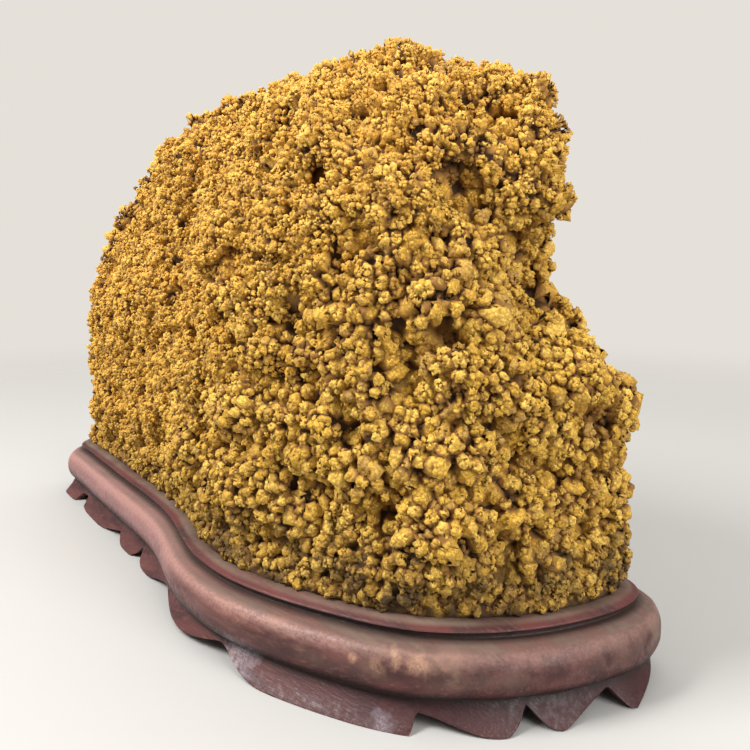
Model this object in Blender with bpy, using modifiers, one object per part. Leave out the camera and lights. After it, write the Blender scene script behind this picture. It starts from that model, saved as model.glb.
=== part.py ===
"""A knobbly flowstone viewing stone, seated in a low carved wooden stand.

The frame has its origin in the middle of the stand's footprint, on the surface it stands on.
+X runs along the stone, +Y goes through it to the back, and +Z is up.
"""

import math

import bmesh
import bpy
import numpy as np
from mathutils import Vector, noise

MM = 0.001

# The stand's rim line in plan, in millimetres, from the left tip along the front and back again.
RIM_LINE = [
    (-217, 5), (-209, -8), (-182, -13.5), (-140, -22), (-100, -30), (-58, -38), (-33, -43.6),
    (-12, -50), (8, -58), (30, -66.7), (52, -72.2), (76, -74.4), (104, -71.8), (134, -65),
    (161, -55.5), (183, -39), (199, -19.5), (210, 1.5), (216.5, 24), (214, 40), (202, 50),
    (160, 64), (100, 75), (40, 77), (-15, 74), (-60, 67), (-105, 59), (-145, 48), (-182, 33),
    (-208, 19),
]

# The middle of the stand's footprint, in the rim line's own coordinates.
FOOTPRINT_MIDDLE = (-0.11, 2.12)

# The stand's levels, from the surface up.
BOARD_UNDERSIDE = 14.5
COVE_LEVEL = 11.4
COVE_REACH = 3.0
WELL_FLOOR = 24.0
RIM_TOP = 36.5
WELL_INSET = 8.7
APRON_FLARE = 11.0
APRON_WALL = 6.5
UNDERSIDE_INSET = 5.0
STATION_SPACING = 14.0

# The moulding's section from the well to the cove, as distance out from the rim line and height.
MOULDING = [
    (-WELL_INSET, WELL_FLOOR), (-WELL_INSET, RIM_TOP), (-4.5, RIM_TOP), (0.0, 34.3),
    (-2.6, 33.3), (-2.4, 31.3), (2.0, 30.9), (6.9, 28.6), (9.3, 23.6), (9.1, 17.2),
    (7.0, 12.9), (COVE_REACH, COVE_LEVEL),
]

# The apron's lower edge along the front: distance along the rim line from the left tip, and height.
SCALLOPS = [
    (6, 0), (43, 0), (49, 6), (61, 6.5), (64, 1.2), (74, 0), (110, 0), (124, 2.5), (139, 5),
    (145, 1.6), (152, 0.2), (168, 0.2), (174, 2.5), (178, 6.8), (183, 1.8), (190, 0), (206, 0.2),
    (217, 3), (236, 6.2), (248, 3.8), (262, 2.2), (279, 2), (291, 4), (301, 6.5), (308, 8),
    (314, 6.6), (319, 3.8), (329, 1), (338, 0), (402, 0), (403.5, 6.2), (409, 5.4), (424, 1.2),
    (431, 0), (436, 0.2), (440, 2.8), (444, 8.2), (448, 3.6), (452, 1), (456, 0), (461, 1.6),
    (472, 5.8), (480, 8.2), (483, 4.4), (486, 0.8), (489, 0), (497, 2.6), (506, 5.2), (513, 8),
]

# The stone's foot in the well, and where its sides start above the rim.
RESTING_GAP = 0.3
FOOT_INSET = 10.2
FOOT_SINK = 12.0
BODY_INSET = 7.5
BODY_BOTTOM = RIM_TOP + RESTING_GAP + 0.1
FOOT_ROOT = BODY_BOTTOM - 5.0

# The crest of the stone: place along X and height, at one depth.
CREST_Y = 2.0
CREST = [(-58, 274), (-7, 279), (62, 279), (105, 286), (142, 274), (156, 268)]

# The stone's outline up each side: height, and how far it stands out from its foot line.
SIDES = {
    "left": [
        (FOOT_ROOT, 0), (60, 2), (90, 4), (120, 8), (145, 3), (171, -11), (195, -28),
        (217, -48), (236, -72), (251, -100), (265, -130), (275, -150),
    ],
    "right": [
        (FOOT_ROOT, 0), (40, 2), (50, 0), (66, -3), (84, 2), (96, -4), (110, 5), (124, 8), (132, 3),
        (142, -12), (150, -28), (160, -38), (172, -41), (190, -31), (203, -14), (213, -19), (232, -16),
        (247, -20), (258, -28), (265, -44), (268, -58),
    ],
    "front": [
        (FOOT_ROOT, 0), (60, 4), (110, 6), (160, 3), (200, -5), (232, -16), (256, -31),
        (271, -47), (279, -60), (282, -68),
    ],
    "back": [
        (FOOT_ROOT, 0), (58, 5), (105, 9), (150, 7), (190, -2), (225, -15), (252, -32),
        (270, -50), (279, -62), (282, -70),
    ],
}
FACING = {"left": (-1.0, 0.0), "right": (0.9, 0.44), "front": (0.0, -1.0), "back": (-0.3, 0.95)}
LEFT_END_PULL = 1.6
REACH = {"left": 150.0, "right": 58.0, "front": 68.0, "back": 70.0}

# Hollows in the surface: centre, radius and depth.
PITS = [
    ((176, -34, 211), 17, 13), ((109, -50, 216), 8, 11), ((116, -70, 126), 12, 10),
    ((214, 8, 113), 13, 9), ((163, -56, 132), 17, 7), ((187, -16, 191), 11, 7),
    ((110, -68, 161), 11, 7), ((174, -48, 149), 9, 8), ((-40, -34, 205), 12, 8),
    ((-120, -24, 150), 16, 8), ((30, -66, 90), 15, 7), ((150, -60, 72), 12, 7),
    ((-60, 60, 130), 20, 10), ((90, 76, 170), 18, 10), ((10, 70, 90), 15, 8),
]

# The lumps that cover the stone, and the slower swelling under them.
LUMP_SEED = 48
LUMP_TRIES = 4200
LUMP_RADII = (14.0, 27.0)
LUMP_SPACING = 1.1
LUMP_RISE = 0.52
LUMP_SINK = 7.5
SWELL_SIZE = 62.0
SWELL_RISE = 5.0
STONE_AROUND = 200
STONE_UP = 70
CREST_SLIT = 0.04
STONE_GRAIN = 3.6
STONE_TRIANGLES = 5500


def closed_spline(points, pieces=24):
    """Points along a closed Catmull-Rom curve through the given points."""
    hold = np.array(points, float)
    along = np.linspace(0, 1, pieces, endpoint=False)[:, None]
    runs = []
    for i in range(len(hold)):
        a, b, c, d = (hold[(i + k) % len(hold)] for k in (-1, 0, 1, 2))
        bend = 2 * a - 5 * b + 4 * c - d
        twist = 3 * b - a - 3 * c + d
        runs.append(0.5 * (2 * b + (c - a) * along + bend * along**2 + twist * along**3))
    return np.concatenate(runs)


class RimLine:
    """The closed rim line, read by distance along it in millimetres."""

    def __init__(self, points):
        self.line = closed_spline(points)
        steps = np.linalg.norm(np.roll(self.line, -1, 0) - self.line, axis=1)
        self.along = np.concatenate([[0], np.cumsum(steps)])
        self.length = self.along[-1]
        heading = np.roll(self.line, -1, 0) - np.roll(self.line, 1, 0)
        heading /= np.linalg.norm(heading, axis=1)[:, None]
        self.outward = np.stack([heading[:, 1], -heading[:, 0]], axis=1)

    def read(self, table, distance):
        wrapped = np.vstack([table, table[:1]])
        columns = [np.interp(distance % self.length, self.along, c) for c in wrapped.T]
        return np.stack(columns, axis=-1)

    def point(self, distance, out):
        """The plan place at this distance along the line, moved outward by out."""
        normal = self.read(self.outward, distance)
        normal /= np.linalg.norm(normal, axis=-1, keepdims=True)
        return self.read(self.line, distance) + normal * np.asarray(out)[..., None]


def material(name, colour, roughness):
    made = bpy.data.materials.new(name)
    made.use_nodes = True
    shader = made.node_tree.nodes["Principled BSDF"]
    shader.inputs["Base Color"].default_value = (*colour, 1)
    shader.inputs["Roughness"].default_value = roughness
    return made


def wrapped_grid(around, up, place):
    """A tube of around by up cells with both ends closed; place maps a column and row to millimetres."""
    bm = bmesh.new()
    bmesh.ops.create_grid(bm, x_segments=around, y_segments=up, size=1)
    for vert in bm.verts:
        column = round((vert.co.x + 1) / 2 * around) % around
        row = round((vert.co.y + 1) / 2 * up)
        vert.co = Vector(place(column, row)) * MM
    bmesh.ops.remove_doubles(bm, verts=bm.verts, dist=1e-7)
    open_edges = [edge for edge in bm.edges if edge.is_boundary]
    bmesh.ops.holes_fill(bm, edges=open_edges, sides=0)
    bmesh.ops.recalc_face_normals(bm, faces=bm.faces)
    return bm


def add_object(bm, name, finish, collection):
    """The finished mesh as an object, moved so that the footprint's middle is the origin."""
    bmesh.ops.translate(bm, verts=bm.verts, vec=-Vector((*FOOTPRINT_MIDDLE, 0)) * MM)
    mesh = bpy.data.meshes.new(name)
    bm.to_mesh(mesh)
    bm.free()
    if finish:
        mesh.materials.append(finish)
    mesh.shade_smooth()
    made = bpy.data.objects.new(name, mesh)
    collection.objects.link(made)
    return made


def scallop_table(rim):
    """The apron's lower edge all round: the front as listed, and its mirror image along the back."""
    front_end = SCALLOPS[-1][0]
    squeeze = (rim.length - front_end) / front_end
    back = [(rim.length - s * squeeze, height) for s, height in reversed(SCALLOPS[1:-1])]
    return SCALLOPS + back


def stations_of(rim, table):
    """Where the stand's section is set out: at every turn of the scallops, and evenly between."""
    stations = []
    for i, (start, low) in enumerate(table):
        end, high = table[(i + 1) % len(table)]
        end = end if end > start else end + rim.length
        pieces = max(1, math.ceil((end - start) / STATION_SPACING))
        for k in range(pieces):
            share = k / pieces
            stations.append(((start + (end - start) * share) % rim.length, low + (high - low) * share))
    return stations


def apron_reach(height):
    """How far the apron's face stands out at this height: it sweeps out towards the floor."""
    drop = 1 - height / COVE_LEVEL
    return COVE_REACH + (APRON_FLARE - COVE_REACH) * drop**1.5


def stand_section(low):
    """The stand's section from the well floor's edge, over the moulding, to the board's underside."""
    middle = low + 0.45 * (COVE_LEVEL - low)
    reach = apron_reach(low)
    return MOULDING + [
        (apron_reach(middle), middle),
        (reach, low),
        (reach - APRON_WALL, low),
        (-UNDERSIDE_INSET, BOARD_UNDERSIDE),
    ]


def build_stand(rim, collection):
    stations = stations_of(rim, scallop_table(rim))
    rows = len(stand_section(0)) - 1

    def place(column, row):
        distance, low = stations[column]
        out, height = stand_section(low)[row]
        x, y = rim.point(distance, out)
        return x, y, height

    bm = wrapped_grid(len(stations), rows, place)
    wood = material("dark_hardwood", (0.15, 0.066, 0.066), 0.45)
    return add_object(bm, "stand", wood, collection)


def side_curve(side, share):
    """A side's stand-out and height at a share of the way along its outline, foot to crest."""
    height, out = np.array(SIDES[side], float).T
    steps = np.hypot(np.diff(height), np.diff(out))
    along = np.concatenate([[0], np.cumsum(steps)]) / steps.sum()
    return np.interp(share, along, out), np.interp(share, along, height)


def smooth_body(rim):
    """The stone's smooth form as rows of points, from just below the rim up to the crest."""
    distance = np.arange(STONE_AROUND) / STONE_AROUND * rim.length
    base = rim.point(distance, np.full(STONE_AROUND, -BODY_INSET))
    normal = rim.read(rim.outward, distance)
    crest_x = np.interp(base[:, 0], [base[:, 0].min(), base[:, 0].max()], [CREST[0][0], CREST[-1][0]])
    crest_z = np.interp(crest_x, *np.array(CREST, float).T)
    middle = np.column_stack([crest_x, np.full(STONE_AROUND, CREST_Y)])
    pull = {side: np.maximum(normal @ facing, 0) ** 4 for side, facing in FACING.items()}
    leftward = (CREST[0][0] - base[:, 0]) / REACH["left"]
    pull["left"] += LEFT_END_PULL * np.clip(leftward, 0, 1) ** 2
    total = sum(pull.values())
    rows = []
    for share in np.linspace(0, 1, STONE_UP + 1):
        out, inward, height = np.zeros((3, STONE_AROUND))
        for side, weight in pull.items():
            weight = weight / total
            side_out, side_height = side_curve(side, share)
            top = SIDES[side][-1][0]
            rise = (side_height - FOOT_ROOT) / (top - FOOT_ROOT)
            out += weight * max(side_out, 0)
            inward += weight * min(side_out, 0) / REACH[side]
            height += weight * (side_height + (crest_z - top) * rise**2)
        kept = np.maximum(1 + inward, CREST_SLIT)[:, None]
        plan = middle + (base - middle) * kept + normal * out[:, None]
        rows.append(np.column_stack([plan, height]))
    return np.array(rows)


def lump_centres(points, rng):
    """Lump centres and radii over the surface, each clear of the middle of the others."""
    centres = np.empty((0, 3))
    radii = np.empty(0)
    for pick in rng.integers(len(points), size=LUMP_TRIES):
        radius = LUMP_RADII[0] + (LUMP_RADII[1] - LUMP_RADII[0]) * rng.random() ** 1.6
        away = np.linalg.norm(centres - points[pick], axis=1)
        if (away > LUMP_SPACING * np.maximum(radii, radius)).all():
            centres = np.vstack([centres, points[pick]])
            radii = np.append(radii, radius)
    return centres, radii


def relief(points, centres, radii):
    """How far each point rises: round lumps, slow swelling, and the pits taken out."""
    rise = np.zeros(len(points))
    for centre, radius in zip(centres, radii):
        near = 1 - ((points - centre) ** 2).sum(axis=1) / radius**2
        rise = np.maximum(rise, LUMP_RISE * radius * np.sqrt(np.maximum(near, 0)))
    swell = [noise.noise(Vector(p) / SWELL_SIZE) for p in points]
    rise += SWELL_RISE * np.array(swell) - LUMP_SINK
    for centre, radius, depth in PITS:
        near = 1 - ((points - np.array(centre)) ** 2).sum(axis=1) / radius**2
        rise -= depth * np.maximum(near, 0) ** 1.1
    return rise


def with_modifier(bm, kind, **settings):
    """The mesh that a modifier makes of this one."""
    mesh = bpy.data.meshes.new("rough")
    bm.to_mesh(mesh)
    bm.free()
    rough = bpy.data.objects.new("rough", mesh)
    bpy.context.scene.collection.objects.link(rough)
    step = rough.modifiers.new("step", kind)
    for name, value in settings.items():
        setattr(step, name, value)
    made = bmesh.new()
    made.from_object(rough, bpy.context.evaluated_depsgraph_get())
    bpy.data.objects.remove(rough)
    return made


def build_foot(rim, collection):
    """The stone's foot: a low block that fills the well of the stand."""
    distance = np.arange(0, rim.length, STATION_SPACING)
    outline = rim.point(distance, np.full(len(distance), -FOOT_INSET))
    levels = (WELL_FLOOR + RESTING_GAP, BODY_BOTTOM + FOOT_SINK)
    bm = wrapped_grid(len(outline), 1, lambda column, row: (*outline[column], levels[row]))
    foot = add_object(bm, "stone_foot", None, collection)
    foot.hide_render = True
    foot.display_type = "WIRE"
    return foot


def build_stone(rim, collection, helpers):
    body = smooth_body(rim)
    bm = wrapped_grid(STONE_AROUND, STONE_UP, lambda column, row: body[row, column])
    bm = with_modifier(bm, "REMESH", mode="VOXEL", voxel_size=STONE_GRAIN * MM)
    bm.normal_update()
    points = np.array([vert.co for vert in bm.verts]) / MM
    centres, radii = lump_centres(points[points[:, 2] > BODY_BOTTOM], np.random.default_rng(LUMP_SEED))
    for vert, rise in zip(bm.verts, relief(points, centres, radii)):
        settle = min(max((vert.co.z / MM - BODY_BOTTOM) / 14, 0), 1)
        vert.co += vert.normal * rise * settle * MM
    bmesh.ops.triangulate(bm, faces=bm.faces)
    bm = with_modifier(bm, "DECIMATE", ratio=STONE_TRIANGLES / len(bm.faces))
    shell = list(bm.verts) + list(bm.edges) + list(bm.faces)
    level = Vector((0, 0, BODY_BOTTOM)) * MM
    cut = bmesh.ops.bisect_plane(bm, geom=shell, plane_co=level, plane_no=(0, 0, 1), clear_inner=True)
    rim_edges = [part for part in cut["geom_cut"] if isinstance(part, bmesh.types.BMEdge)]
    bmesh.ops.holes_fill(bm, edges=rim_edges, sides=0)
    bmesh.ops.recalc_face_normals(bm, faces=bm.faces)
    ochre = material("ochre_flowstone", (0.46, 0.27, 0.06), 0.9)
    stone = add_object(bm, "stone", ochre, collection)
    seat = stone.modifiers.new("foot", "BOOLEAN")
    seat.operation = "UNION"
    seat.object = build_foot(rim, helpers)
    return stone


def main():
    for old in list(bpy.data.objects):
        bpy.data.objects.remove(old)
    collection = bpy.data.collections.new("viewing_stone")
    helpers = bpy.data.collections.new("helpers")
    bpy.context.scene.collection.children.link(collection)
    bpy.context.scene.collection.children.link(helpers)
    rim = RimLine(RIM_LINE)
    build_stand(rim, collection)
    build_stone(rim, collection, helpers)


main()
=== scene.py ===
# %% [markdown]
# # A knobbly viewing stone on its carved stand
# This lesson dresses a imported part in Blender. The stone is a cave crust of ochre knobs, each made of
# smaller buds and crumbs, and the stand is dark lacquered wood, worn along its rounded rim.
# The imported model is the fixed frame: its solids give every size here, and nothing reaches past them.
# The first cell loads it and bakes each part's place into its mesh.

# %% Load the imported part
import math

import bmesh
import bpy
import numpy as np
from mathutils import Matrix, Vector, kdtree, noise


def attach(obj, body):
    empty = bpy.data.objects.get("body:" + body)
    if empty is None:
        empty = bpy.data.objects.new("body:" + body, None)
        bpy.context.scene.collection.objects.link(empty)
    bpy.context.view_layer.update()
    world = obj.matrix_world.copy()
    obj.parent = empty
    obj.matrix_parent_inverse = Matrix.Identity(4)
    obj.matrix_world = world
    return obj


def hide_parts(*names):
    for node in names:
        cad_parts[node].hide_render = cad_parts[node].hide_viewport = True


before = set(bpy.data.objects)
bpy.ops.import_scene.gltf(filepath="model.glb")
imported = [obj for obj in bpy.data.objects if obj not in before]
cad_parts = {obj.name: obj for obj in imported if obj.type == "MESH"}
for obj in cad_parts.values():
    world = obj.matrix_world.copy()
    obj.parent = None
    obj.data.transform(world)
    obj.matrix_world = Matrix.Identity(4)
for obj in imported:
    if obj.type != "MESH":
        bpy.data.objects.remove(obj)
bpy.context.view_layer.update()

MM = 0.001
print("the part's nodes:", sorted(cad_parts))

# %% [markdown]
# ## Camera, floor and light
# The picture is taken from low down and near, level with the middle of the stone, looking along it
# from its tall end. A near camera makes the far end small, so its place matters more than its lens.
# The horizon lies above the middle of the picture, which a vertical shift of the lens gives without
# tilting the camera, and uprights stay upright.

# %% Camera
CAMERA_PLACE = (0.35211, -0.27812, 0.180)
CAMERA_HEADING = 43.0
LENS = 36.0
SENSOR_WIDTH = 36.0
LENS_SHIFT = -0.16
NEAREST_SHOWN = 0.01


def in_scene(name, data):
    made = bpy.data.objects.new(name, data)
    bpy.context.scene.collection.objects.link(made)
    return made


camera_data = bpy.data.cameras.new("camera")
camera_data.lens = LENS
camera_data.sensor_width = SENSOR_WIDTH
camera_data.shift_y = LENS_SHIFT
camera_data.clip_start = NEAREST_SHOWN
camera = in_scene("camera", camera_data)
camera.location = CAMERA_PLACE
camera.rotation_euler = (math.radians(90), 0, math.radians(CAMERA_HEADING))
bpy.context.scene.camera = camera
print("camera", round(Vector(CAMERA_PLACE).length, 3), "m from the middle of the foot")

# %% [markdown]
# Every material here is a tree of nodes. Adding one takes several lines, so short helpers come first:
# one adds any node, and the others add the kinds that are used again and again. Their first input is
# always a socket, and its id_data is the tree it is in. A mask is a value between 0 and 1, and the
# product of masks holds only where all of them do.


# %% Nodes in one line each
def add_node(tree, kind, values=(), **settings):
    """Adds a node. A value that is a socket is linked to its input, and any other is set on it."""
    made = tree.nodes.new("ShaderNode" + kind)
    for name, setting in settings.items():
        setattr(made, name, setting)
    for key, value in dict(values).items():
        if isinstance(value, bpy.types.NodeSocket):
            tree.links.new(value, made.inputs[key])
        else:
            made.inputs[key].default_value = value
    return made


def math_node(operation, a, b):
    return add_node(a.id_data, "Math", {0: a, 1: b}, operation=operation).outputs[0]


def product(first, *others):
    for other in others:
        first = math_node("MULTIPLY", first, other)
    return first


def mix_colour(share, a, b):
    return add_node(share.id_data, "Mix", {0: share, 6: a, 7: b}, data_type="RGBA").outputs[2]


# %% Ramps, bands and noise
def remap(value, low, high, to_low=0.0, to_high=1.0):
    """A value's range made into another, held at its ends, with a soft start and stop."""
    steps = {0: value, 1: low, 2: high, 3: to_low, 4: to_high}
    return add_node(value.id_data, "MapRange", steps, interpolation_type="SMOOTHSTEP").outputs[0]


def band(value, start, full, full_to, end):
    """A mask that rises from start to full, and falls from full_to to end."""
    return product(remap(value, start, full), remap(value, end, full_to))


def noise_of(vector, scale, detail=4.0, roughness=0.55):
    values = {"Vector": vector, "Scale": scale, "Detail": detail, "Roughness": roughness}
    return add_node(vector.id_data, "TexNoise", values).outputs["Fac"]


def new_material(name):
    made = bpy.data.materials.new(name)
    made.use_nodes = True
    return made, made.node_tree, made.node_tree.nodes["Principled BSDF"]


print("node helpers ready")

# %% [markdown]
# A plain pale floor and large soft lamps show a rough crust best: the shadows between the knobs stay
# soft, and the rounded wood gets long quiet highlights. The floor fades out with distance, so that no
# horizon cuts across behind the stone.

# %% Floor
FLOOR_SIZE = 6.0
FLOOR_FADE = (0.30, 1.25)
FLOOR_COLOUR = (0.40, 0.39, 0.372, 1)
FLOOR_ROUGHNESS = 0.7

floor_mesh = bpy.data.meshes.new("floor")
bm = bmesh.new()
bmesh.ops.create_grid(bm, x_segments=1, y_segments=1, size=FLOOR_SIZE / 2)
bm.to_mesh(floor_mesh)
bm.free()
floor = in_scene("floor", floor_mesh)
floor_finish, floor_tree, floor_shader = new_material("pale_floor")
floor_shader.inputs["Base Color"].default_value = FLOOR_COLOUR
floor_shader.inputs["Roughness"].default_value = FLOOR_ROUGHNESS
floor_place = add_node(floor_tree, "TexCoord").outputs["Object"]
off_middle = add_node(floor_tree, "VectorMath", {0: floor_place}, operation="LENGTH").outputs["Value"]
fade = remap(off_middle, *FLOOR_FADE, 1.0, 0.0)
floor_tree.links.new(fade, floor_shader.inputs["Alpha"])
floor_mesh.materials.append(floor_finish)
print("a floor of", FLOOR_SIZE, "m, faded out at", FLOOR_FADE[1], "m")

# %% [markdown]
# The main lamp is high on the left. A very large one overhead lights the floor evenly and the tops of
# the knobs, and a weak one stands by the camera. The surroundings look bright but give less light than
# they show, which keeps the creases deep.

# %% Surroundings and lamps
WORLD_COLOUR = (0.80, 0.765, 0.71, 1)
WORLD_LIGHT = 0.37
WORLD_SHOWN = 0.98
# Each lamp: its place, its size in metres and its power in watts.
LAMPS = {
    "high_left": ((-0.36, -0.84, 1.02), 0.5, 26.0),
    "overhead": ((-0.10, 0.35, 2.5), 4.0, 86.0),
    "by_the_camera": ((1.15, -0.12, 0.62), 0.7, 13.5),
}
LAMP_TARGET = Vector((0.0, 0.0, 0.13))

world = bpy.data.worlds.new("studio")
bpy.context.scene.world = world
world.use_nodes = True
background = world.node_tree.nodes["Background"]
background.inputs["Color"].default_value = WORLD_COLOUR
to_lens = add_node(world.node_tree, "LightPath").outputs["Is Camera Ray"]
strength = add_node(world.node_tree, "MapRange", {0: to_lens, 3: WORLD_LIGHT, 4: WORLD_SHOWN}).outputs[0]
world.node_tree.links.new(strength, background.inputs["Strength"])
bpy.context.scene.view_settings.view_transform = "Standard"

for lamp_name, (lamp_place, size, power) in LAMPS.items():
    lamp_data = bpy.data.lights.new(lamp_name, "AREA")
    lamp_data.size = size
    lamp_data.energy = power
    lamp = in_scene(lamp_name, lamp_data)
    lamp.location = lamp_place
    lamp.rotation_euler = (LAMP_TARGET - Vector(lamp_place)).to_track_quat("-Z", "Y").to_euler()
print(len(LAMPS), "soft lamps")

# %% [markdown]
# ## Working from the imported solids
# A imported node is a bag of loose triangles, so a copy of it is merged before anything is done to it.
# The node itself is never changed. Two more helpers run modifiers on a copy and read a mesh into
# arrays, because the stone has far too many points to move one at a time.

# %% Copies and modifiers
MERGE_DISTANCE = 0.01


def merged_copy(node):
    bm = bmesh.new()
    bm.from_mesh(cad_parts[node].data)
    bmesh.ops.remove_doubles(bm, verts=bm.verts, dist=MERGE_DISTANCE * MM)
    return bm


def after_modifiers(bm, name, steps):
    """The mesh that a row of modifiers makes: each step is a kind and its settings."""
    mesh = bpy.data.meshes.new(name)
    bm.to_mesh(mesh)
    bm.free()
    rough = in_scene(name, mesh)
    for kind, settings in steps:
        step = rough.modifiers.new(kind.lower(), kind)
        for key, value in settings.items():
            setattr(step, key, value)
    seen = rough.evaluated_get(bpy.context.evaluated_depsgraph_get())
    made = bpy.data.meshes.new_from_object(seen)
    bpy.data.objects.remove(rough)
    bpy.data.meshes.remove(mesh)
    made.name = name
    return made


print("stone node:", len(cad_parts["stone"].data.polygons), "triangles")


# %% A mesh as arrays, in millimetres
def points_of(mesh):
    flat = np.empty(len(mesh.vertices) * 3, np.float32)
    mesh.vertices.foreach_get("co", flat)
    return flat.reshape(-1, 3).astype(float) / MM


def normals_of(mesh):
    flat = np.empty(len(mesh.vertices) * 3, np.float32)
    mesh.vertex_normals.foreach_get("vector", flat)
    return flat.reshape(-1, 3).astype(float)


def set_points(mesh, points):
    mesh.vertices.foreach_set("co", (points * MM).astype(np.float32).ravel())
    mesh.update()


def set_attribute(mesh, name, values):
    """A number for each point, which a material reads by its name."""
    attribute = mesh.attributes.new(name, "FLOAT", "POINT")
    attribute.data.foreach_set("value", np.asarray(values, np.float32))


print("array helpers ready")

# %% [markdown]
# ## The body under the crust
# The solid has the stone's form in broad facets. The real surface has no facets, so a copy is rebuilt
# in a fine even grid and smoothed. Its foot in the stand's well is left where it is.

# %% A smooth even body
GRAIN = 2.1
SMOOTHING = 5
RIM_TOP = 36.5
CRUST_FULL = 4.0

body = after_modifiers(merged_copy("stone"), "stone_body", [
    ("REMESH", {"mode": "VOXEL", "voxel_size": GRAIN * MM}),
    ("SMOOTH", {"factor": 0.5, "iterations": SMOOTHING}),
])
base = points_of(body)
outward = normals_of(body)
above_rim = np.clip((base[:, 2] - RIM_TOP) / CRUST_FULL, 0, 1)
print(len(base), "points in the body")

# %% [markdown]
# ## Where the crust is fine and where it is coarse
# The top and the low end carry crumbs of 1 to 3 mm, and the flank under the tall end carries round
# florets of 8 to 16 mm. The change runs slantwise across the stone, so it is given as the height at
# which the crust turns fine for each place along the stone, and blurred with noise.

# %% Fine and coarse crust
# Pairs of a place along the stone and the height above which the crust is fine there.
FINE_ABOVE = [(-80, 20), (11, 92), (134, 168), (180, 212), (230, 225)]
FINE_BLUR = 60.0
FINE_PATCHES = 0.6
FINE_NOISE = (30.0, 3.0)


def noise_at(points, size, seed):
    """Smooth noise between about -1 and 1 at each point, with features of the given size."""
    shift = Vector((seed, 2 * seed, 3 * seed))
    return np.array([noise.noise(Vector(p) / size + shift) for p in points])


def soft_step(value):
    value = np.clip(value, 0, 1)
    return value * value * (3 - 2 * value)


fine_line = np.interp(base[:, 0], *np.array(FINE_ABOVE, float).T)
fineness = (base[:, 2] - fine_line) / FINE_BLUR + 0.5 + FINE_PATCHES * noise_at(base, *FINE_NOISE)
fineness = soft_step(fineness)
print("fine crust on", round(100 * fineness.mean()), "percent of the body")

# %% [markdown]
# A few dark pits, and a few smooth dusty places where nothing grew, are listed one by one. Each is a round
# mask about a point of the surface, full in its middle and gone a little past its radius.

# %% Pits and smooth places
# Each place: centre, radius and strength.
PITS = [
    ((163, -25, 214), 7, 1.0), ((175, -36, 212), 9, 0.9), ((108, -50, 216), 5, 1.0),
    ((116, -70, 126), 6, 0.8), ((167, -42, 150), 6, 0.9), ((110, -66, 161), 5, 0.8),
    ((-40, -34, 205), 7, 0.8), ((-120, -24, 150), 9, 0.7), ((40, -66, 96), 6, 0.7),
    ((178, -43, 66), 6, 0.8), ((-60, 60, 130), 10, 0.9), ((90, 76, 170), 9, 0.9),
    ((10, 70, 90), 8, 0.8), ((207, 8, 100), 6, 0.9), ((211, 12, 111), 7, 0.9),
]
SMOOTH_PLACES = [
    ((101, -63, 160), 4, 0.8), ((153, -47, 130), 4, 0.8), ((178, -8, 191), 4, 0.8),
    ((198, -16, 58), 4, 0.8), ((201, -6, 66), 4, 0.8), ((149, -57, 183), 3, 0.8),
    ((130, 70, 110), 5, 0.8), ((-10, 70, 180), 5, 0.8), ((120, -70, 84), 4, 0.8),
    ((172, -44, 100), 4, 0.8),
]


def round_places(places):
    """The strength of each listed place in its middle, and 0 outside it."""
    share = np.zeros(len(base))
    for centre, radius, most in places:
        away = np.linalg.norm(base - np.array(centre), axis=1) / radius
        share = np.maximum(share, most * soft_step(1.6 - 1.1 * away))
    return share


pit = round_places(PITS)
smooth_place = round_places(SMOOTH_PLACES)
print("pits on", round(100 * (pit > 0.1).mean(), 1), "percent of the body")

# %% [markdown]
# ## Florets
# The crust grew as florets, like a cauliflower's: each is a dome that pushed its neighbours aside, so
# florets meet in narrow dark creases. On the far side, which no near view shows, they are larger and
# fewer, and cover as much. By the stand's rim they are smaller.

# %% The size of a floret at each place
FLORET_RADII = (5.0, 4.7)
FAR_SIDE_SIZE = 1.55
FAR_START = 0.35
FAR_SLOPE = 1.8
AT_THE_RIM = 0.7
RIM_REACH = 18.0
FLORET_LEAST = 0.68
FLORET_SPAN = 0.64
FEW_LARGE = 1.3

rng = np.random.default_rng(7)
to_eye = np.array(CAMERA_PLACE) / MM - base
facing = (outward * to_eye).sum(axis=1) / np.linalg.norm(to_eye, axis=1)
far = soft_step(FAR_START - FAR_SLOPE * facing)
even_radius = FLORET_RADII[0] + (FLORET_RADII[1] - FLORET_RADII[0]) * fineness
even_radius *= 1 + (FAR_SIDE_SIZE - 1) * far
even_radius *= AT_THE_RIM + (1 - AT_THE_RIM) * soft_step((base[:, 2] - RIM_TOP) / RIM_REACH)
radius_here = even_radius * (FLORET_LEAST + FLORET_SPAN * rng.random(len(base)) ** FEW_LARGE)
print("floret radii from", round(radius_here.min(), 1), "to", round(radius_here.max(), 1), "mm")

# %% [markdown]
# To set the florets out, points are taken in a random order and each one clears a space round it,
# which gives an even but irregular spread. A second spread puts small florets in the gaps.

# %% Where the florets grow
FLORET_SPACING = 1.62
FLORET_COVERS = 0.95
GAP_FILLER_SIZE = 0.6
GAP_FILLER_SPACING = 1.5
LOWEST_FLORET = 1.0
BARE_ABOVE = 0.5


def tree_of(points):
    tree = kdtree.KDTree(len(points))
    for index, point in enumerate(points):
        tree.insert(point, index)
    tree.balance()
    return tree


def uneven(least, span, shape):
    """Random factors between least and least + span."""
    return least + span * rng.random(shape)


def spread(points, tree, gaps, allowed):
    """Points picked in a random order, each clearing its own gap round it."""
    free = allowed.copy()
    picked = []
    for index in rng.permutation(len(points)):
        if free[index]:
            picked.append(index)
            free[[found[1] for found in tree.find_range(points[index], gaps[index])]] = False
    return np.array(picked)


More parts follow.
